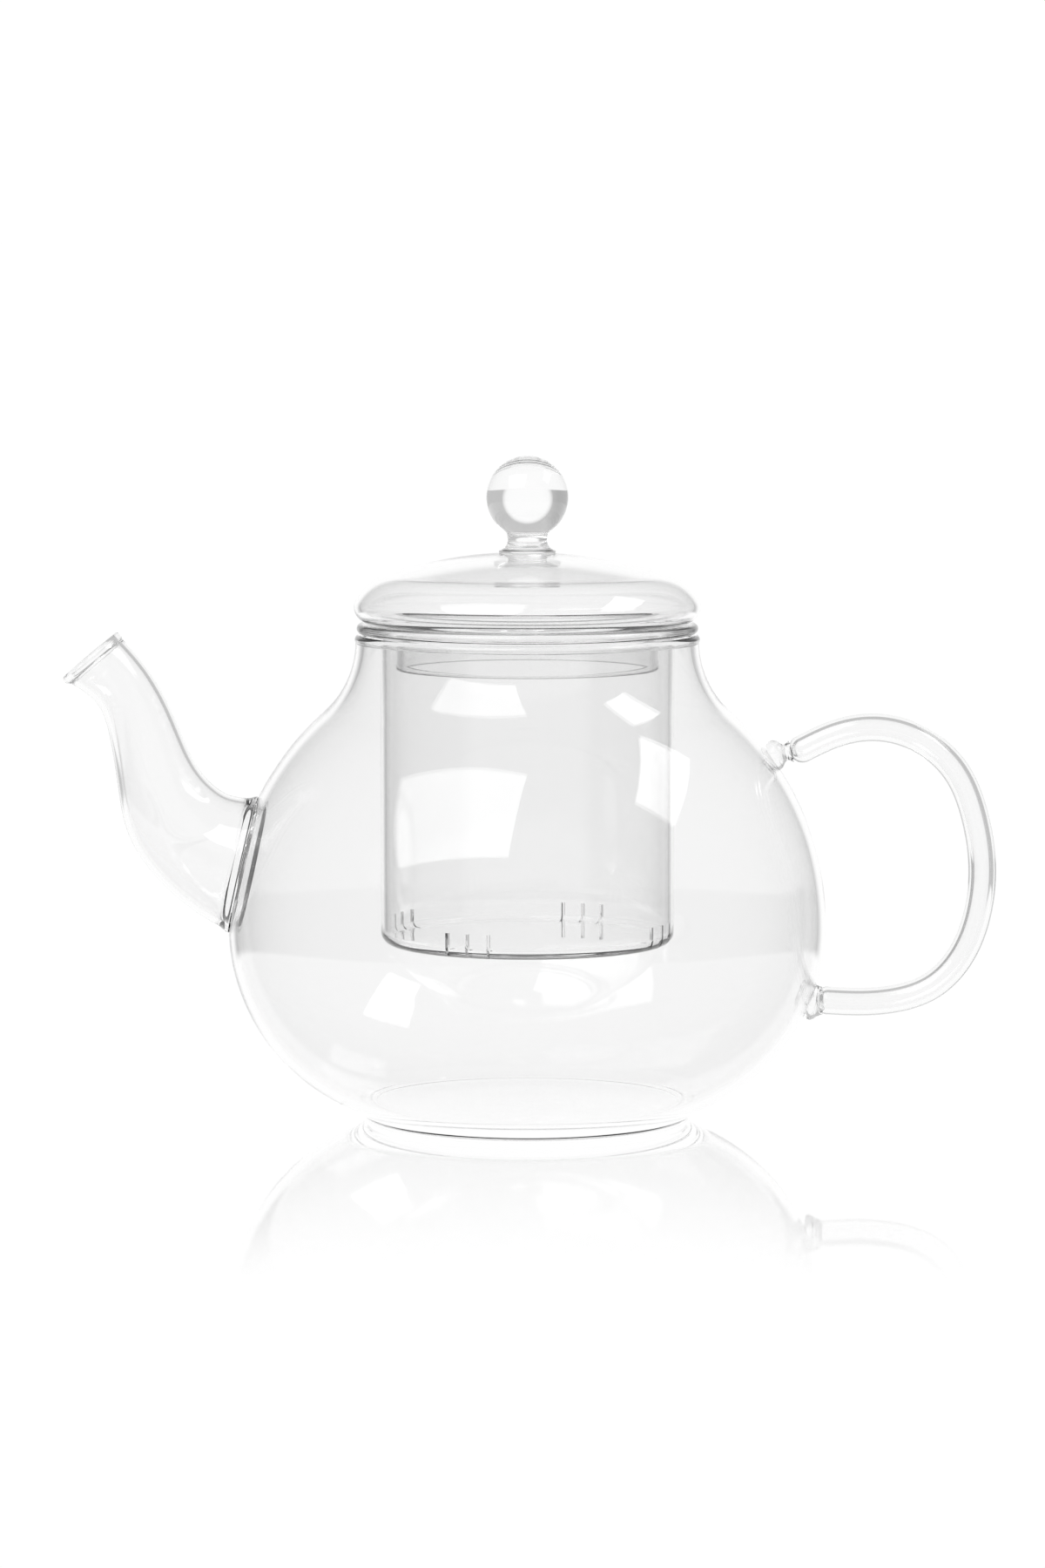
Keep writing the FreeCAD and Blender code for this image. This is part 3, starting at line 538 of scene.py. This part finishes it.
def makeBead(name, outline, start, heading, lump):
    # a bead turned about its own axis, which runs from the bowl's wall to the handle's tube
    heading = np.array(heading, float)
    heading /= np.linalg.norm(heading)
    side = np.array((0, 1, 0))
    up = np.cross(heading, side)
    turns = np.linspace(0, 2 * math.pi, beads["around"], endpoint=False)
    rings = []
    for radius, along in outline:
        ring = []
        for t in turns:
            way = side * math.cos(t) + up * math.sin(t)
            p = np.array(start) + heading * along + way * radius
            ring.append(p + way * lump * noise.noise(Vector(p) / 3.0))
        rings.append(np.array(ring))
    tips = (np.array(start) + heading * outline[0][1], np.array(start) + heading * outline[-1][1])
    piece = gridMesh(name, rings, poles=tips, material=solidGlass)
    faceOutward(piece)
    return piece


def makeUpperBead():
    height = beads["upperHeight"]
    start = (outsideRadius(height), 0, height)
    upper = handle["line"][0]
    heading = (bodyRadius + upper[0] - start[0], 0, upper[1] - start[2])
    return makeBead("upperBeadGlass", beads["upperOutline"], start, heading, beads["upperLump"])


def makeLowerBead():
    height = beads["lowerHeight"]
    start = (outsideRadius(height), 0, height)
    return makeBead("lowerBeadGlass", beads["lowerOutline"], start, (1, 0, 0.02), beads["lowerLump"])


infuser = {
    "neckGap": 4.2,
    "wall": 1.4,
    "baseThickness": 1.7,
    "corner": 3.0,
    "flangeThickness": 2.4,
    "slotWidth": 0.7,
    "slotRise": 6.2,
    "slotReach": 3.6,
    "slotPitch": 8.7,
    "slotTurn": -24.0,
    "slotGroups": 4,
    "slotsInGroup": 3,
    "wobble": 0.08,
    "wobbleSize": 30,
    "around": 240,
}


def makeInfuser():
    radius = pot["neckRadius"] - pot["wall"] - infuser["neckGap"]
    wall, corner = infuser["wall"], infuser["corner"]
    bore = radius - wall
    bottom, floorTop = infuserBottom, infuserBottom + infuser["baseThickness"]
    under = flangeTop - infuser["flangeThickness"]
    edge = infuser["flangeThickness"] / 2
    innerCorner = corner - wall
    outline = [(0, bottom), (10, bottom), (20, bottom), (28, bottom), (31.5, bottom)]
    outline += arcAbout((radius - corner, bottom + corner), corner, -90, 0, 9)
    outline += straight((radius, bottom + corner), (radius, under - 1.2), 60)
    outline += arcAbout((radius + 1.2, under - 1.2), 1.2, 180, 90, 6)
    outline += straight((radius + 1.2, under), (flangeRadius - edge, under), 3)
    outline += arcAbout((flangeRadius - edge, under + edge), edge, -90, 90, 14)
    outline += straight((flangeRadius - edge, flangeTop), (bore + 1.3, flangeTop), 4)
    outline += arcAbout((bore + 1.3, flangeTop - 1.3), 1.3, 90, 180, 8)
    outline += straight((bore, flangeTop - 1.3), (bore, floorTop + innerCorner), 60)
    outline += arcAbout((bore - innerCorner, floorTop + innerCorner), innerCorner, 0, -90, 7)
    outline += [(31.5, floorTop), (28, floorTop), (20, floorTop), (10, floorTop), (0, floorTop)]
    cup = turned("infuserGlass", outline, infuser["around"], wobble=infuser["wobble"],
                 wobbleSize=infuser["wobbleSize"], material=drawnGlass)
    return cutBy(cup, makeSlotBlades(radius, bottom))


def makeSlotBlades(radius, bottom):
    boxFaces = ((3, 2, 1, 0), (4, 5, 6, 7), (0, 1, 5, 4), (1, 2, 6, 5), (2, 3, 7, 6), (3, 0, 4, 7))
    work = bmesh.new()
    for group in range(infuser["slotGroups"]):
        for slot in range(infuser["slotsInGroup"]):
            offset = (slot - (infuser["slotsInGroup"] - 1) / 2) * infuser["slotPitch"]
            turn = math.radians(-90 + infuser["slotTurn"] + group * 360 / infuser["slotGroups"] + offset)
            out = np.array((math.cos(turn), math.sin(turn), 0))
            side = np.array((-math.sin(turn), math.cos(turn), 0)) * infuser["slotWidth"] / 2
            near, far = out * (radius - infuser["slotReach"]), out * (radius + 1)
            low, high = np.array((0, 0, bottom - 1)), np.array((0, 0, bottom + infuser["slotRise"]))
            corners = [near - side, far - side, far + side, near + side]
            points = [work.verts.new(tuple((c + z) * mm)) for z in (low, high) for c in corners]
            for face in boxFaces:
                work.faces.new([points[i] for i in face])
    mesh = bpy.data.meshes.new("slotBlades")
    work.to_mesh(mesh)
    work.free()
    blades = bpy.data.objects.new("slotBlades", mesh)
    bpy.context.scene.collection.objects.link(blades)
    return blades


lid = {
    "wall": 1.7,
    "edgeRadius": 3.9,
    "edgeTurn": 30.0,
    "shoulderRadius": 14.0,
    "height": 17.4,
    "collarWall": 1.6,
    "knobRoot": 7.1,
    "knobWaist": 4.9,
    "knobRadius": 10.25,
    "knobButton": 8.4,
    "buttonDepth": 4.0,
    "wobble": 0.1,
    "wobbleSize": 30,
    "around": 224,
}


def lidSide(inset):
    # rolled edge, shoulder and crown, from underneath up to the knob's root
    edgeCentre = (lidRadius - lid["edgeRadius"], lidBottom + lid["edgeRadius"])
    reach = lid["shoulderRadius"] - lid["edgeRadius"]
    turn = math.radians(lid["edgeTurn"])
    shoulderCentre = (edgeCentre[0] - reach * math.cos(turn), edgeCentre[1] - reach * math.sin(turn))
    drop = lidBottom + lid["height"] - shoulderCentre[1]
    crownChord = shoulderCentre[0] ** 2 + drop**2 - lid["shoulderRadius"] ** 2
    crown = crownChord / (2 * (drop - lid["shoulderRadius"]))
    crownCentre = (0, lidBottom + lid["height"] - crown)
    crownTurn = math.degrees(math.atan2(shoulderCentre[1] - crownCentre[1], shoulderCentre[0]))
    knobTurn = math.degrees(math.acos(lid["knobRoot"] / (crown - inset)))
    side = arcAbout(edgeCentre, lid["edgeRadius"] - inset, -90, lid["edgeTurn"], 16)
    side += arcAbout(shoulderCentre, lid["shoulderRadius"] - inset, lid["edgeTurn"], crownTurn, 12)[1:]
    side += arcAbout(crownCentre, crown - inset, crownTurn, knobTurn, 24)[1:]
    return side


def makeLidDome():
    wall = lid["wall"]
    bore = collarRadius - lid["collarWall"]
    across = lidRadius - lid["edgeRadius"]
    outline = [(bore, lidBottom)] + straight((bore, lidBottom), (across, lidBottom), 5) + lidSide(0)
    outline += lidSide(wall)[::-1]
    outline += straight((across, lidBottom + wall), (bore, lidBottom + wall), 5)
    outline.append((bore, lidBottom + wall))
    piece = turned("lidDomeGlass", outline, lid["around"], closed=True, wobble=lid["wobble"],
                   wobbleSize=lid["wobbleSize"], material=blownGlass)
    piece.data.set_sharp_from_angle(angle=math.radians(50))
    return piece


def makeLidCollar():
    inner, outer = collarRadius - lid["collarWall"], collarRadius
    middle, edge = (inner + outer) / 2, lid["collarWall"] / 2
    outline = arcAbout((middle, collarBottom + edge), edge, 180, 360, 12)
    outline += straight((outer, collarBottom + edge), (outer, lidBottom), 10) + [(outer, lidBottom)]
    outline += [(inner, lidBottom)] + straight((inner, lidBottom), (inner, collarBottom + edge), 10)
    piece = turned("lidCollarGlass", outline, lid["around"], closed=True, wobble=lid["wobble"],
                   wobbleSize=lid["wobbleSize"], material=drawnGlass)
    piece.data.set_sharp_from_angle(angle=math.radians(50))
    return piece


def makeLidKnob():
    centre = knobTop - lid["knobRadius"]
    top = lidBottom + lid["height"]
    waistHeight = top + 3.2
    waist = lid["knobWaist"]
    low = -math.degrees(math.acos(waist * 1.06 / lid["knobRadius"]))
    bottom = top - lid["buttonDepth"]
    button = lid["knobButton"]
    outline = [(0, bottom), (3, bottom), (6, bottom + 0.1)]
    outline += arcAbout((button - 1.0, bottom + 1.1), 1.0, -80, 90, 8)
    outline += [(lid["knobRoot"], bottom + 2.2), (lid["knobRoot"], top - 0.4)]
    outline += arcAbout((lid["knobRoot"] + 0.6, top + 3.2), 2.8, 258, 180, 9)
    outline += arcAbout((0, centre), lid["knobRadius"], low, 90, 40)
    outline[-1] = (0, knobTop)
    piece = turned("lidKnobGlass", outline, 96, material=solidGlass)
    piece.data.set_sharp_from_angle(angle=math.radians(60))
    return piece


white = (1.0, 1.0, 1.0, 1.0)
studio = {
    "floorHalf": 60.0,
    "lit": 1.02,
    "floorRoughness": 0.03,
    # how edge-on the floor is where its mirror starts and is full, and its share there
    "floorMirror": (0.816, 0.846, 1.0),
    # how far round from straight behind the pot the lit backdrop reaches, as a cosine
    "backdrop": (0.84, 0.94),
    # the room's level in front of the pot, on its left and on its right
    "front": 0.85,
    "left": 0.42,
    "right": 0.55,
    # where the room's left side turns into its right, and where both turn into its front
    "sideEdge": (-0.62, -0.30),
    "frontEdge": (-0.35, -0.75),
    # light crosses many glass walls before it leaves the pot
    "glassBounces": 40,
    "glossBounces": 16,
    "softboxes": (
        # centre, half of the edge to the right, half of the upward edge, in metres, and radiance
        ((-0.65, -0.80, 1.22), (0.54, -0.25, 0.135), (0.112, 0.397, 0.33), 2.2),
        ((0.95, -0.05, 1.14), (0.13, 0.06, -0.13), (-0.06, 0.40, 0.08), 3.0),
    ),
}


camera = {
    "place": (-0.0012, -1.45, 0.225),
    "aim": (-0.0012, 0.0, 0.0843),
    "lens": 133.7,
    "sensorWidth": 36,
}


def ramp(tree, value, start, end, low=0.0, high=1.0):
    settings = {"interpolation_type": "SMOOTHSTEP", "From Min": start, "From Max": end,
                "To Min": low, "To Max": high}
    return addNode(tree, "ShaderNodeMapRange", settings, {"Value": value}).outputs["Result"]


def calculate(tree, operation, first, second):
    # a Math node; each of the two may be a socket or a number
    node = addNode(tree, "ShaderNodeMath", {"operation": operation})
    for index, value in enumerate((first, second)):
        if isinstance(value, (int, float)):
            node.inputs[index].default_value = value
        else:
            tree.links.new(value, node.inputs[index])
    return node.outputs["Value"]


def makeFloor():
    # plain white acrylic, lit evenly from below; a mirror only at a low angle
    work = bmesh.new()
    bmesh.ops.create_grid(work, x_segments=2, y_segments=2, size=studio["floorHalf"])
    mesh = bpy.data.meshes.new("floor")
    work.to_mesh(mesh)
    work.free()
    floor = bpy.data.objects.new("floor", mesh)
    bpy.context.scene.collection.objects.link(floor)
    material = bpy.data.materials.new("whiteAcrylic")
    material.use_nodes = True
    tree = material.node_tree
    tree.nodes.clear()
    glow = addNode(tree, "ShaderNodeEmission", {"Color": white, "Strength": studio["lit"]})
    gloss = addNode(tree, "ShaderNodeBsdfGlossy", {"Color": white, "Roughness": studio["floorRoughness"]})
    facing = addNode(tree, "ShaderNodeLayerWeight", {"Blend": 0.5})
    low, high, most = studio["floorMirror"]
    share = ramp(tree, facing.outputs["Facing"], low, high, 0, most)
    board = addNode(tree, "ShaderNodeMixShader", links={"Fac": share})
    tree.links.new(glow.outputs["Emission"], board.inputs[1])
    tree.links.new(gloss.outputs["BSDF"], board.inputs[2])
    addNode(tree, "ShaderNodeOutputMaterial", links={"Surface": board.outputs["Shader"]})
    mesh.materials.append(material)


def makeWorld():
    # a lit backdrop and a paler front, with grey sides that give the glass its edges
    world = bpy.data.worlds.new("studioWorld")
    bpy.context.scene.world = world
    world.use_nodes = True
    tree = world.node_tree
    tree.nodes.clear()
    way = addNode(tree, "ShaderNodeTexCoord")
    axes = addNode(tree, "ShaderNodeSeparateXYZ", links={"Vector": way.outputs["Generated"]})
    side = ramp(tree, axes.outputs["X"], *studio["sideEdge"], studio["left"], studio["right"])
    front = ramp(tree, axes.outputs["Y"], *studio["frontEdge"], 0, studio["front"])
    back = ramp(tree, axes.outputs["Y"], *studio["backdrop"], 0, studio["lit"])
    level = calculate(tree, "MAXIMUM", side, calculate(tree, "MAXIMUM", front, back))
    sky = addNode(tree, "ShaderNodeBackground", {"Color": white}, {"Strength": level})
    addNode(tree, "ShaderNodeOutputWorld", links={"Surface": sky.outputs["Background"]})


def makeSoftboxes():
    for index, (centre, halfAcross, halfUp, radiance) in enumerate(studio["softboxes"]):
        across, up = Vector(halfAcross), Vector(halfUp)
        light = bpy.data.lights.new("softbox%d" % index, "AREA")
        light.shape = "RECTANGLE"
        light.size, light.size_y = 2 * across.length, 2 * up.length
        light.energy = radiance * math.pi * light.size * light.size_y
        lamp = bpy.data.objects.new("softbox%d" % index, light)
        across.normalize()
        up.normalize()
        turn = Matrix((across, up, across.cross(up))).transposed().to_4x4()
        lamp.matrix_world = Matrix.Translation(centre) @ turn
        bpy.context.scene.collection.objects.link(lamp)


def makeCamera():
    lens = bpy.data.cameras.new("camera")
    lens.lens = camera["lens"]
    lens.sensor_width = camera["sensorWidth"]
    eye = bpy.data.objects.new("camera", lens)
    eye.location = camera["place"]
    way = Vector(camera["aim"]) - Vector(camera["place"])
    eye.rotation_euler = way.to_track_quat("-Z", "Y").to_euler()
    bpy.context.scene.collection.objects.link(eye)
    bpy.context.scene.camera = eye


makeCamera()
makeFloor()
makeWorld()
makeSoftboxes()
print("studio made")

place(cutBy(makePotBowl(), makeSpoutHole(), openCut=True), "pot", "pot_bowl")
place(makeSpout(), "pot", "spout")
place(makeSpoutSeam(), "pot", "spout_seam")
print("pot and spout made")
place(makeHandleTube(), "pot", "handle_tube")
place(makeUpperBead(), "pot", "upper_handle_bead")
place(makeLowerBead(), "pot", "lower_handle_bead")
print("handle made")
place(makeInfuser(), "infuser", "infuser")
print("infuser made")
place(makeLidDome(), "lid", "lid_dome")
place(makeLidCollar(), "lid", "lid_collar")
place(makeLidKnob(), "lid", "lid_knob")
print("lid made")

bpy.context.scene.view_settings.view_transform = "Standard"
bpy.context.scene.cycles.max_bounces = studio["glassBounces"]
bpy.context.scene.cycles.transmission_bounces = studio["glassBounces"]
bpy.context.scene.cycles.glossy_bounces = studio["glossBounces"]
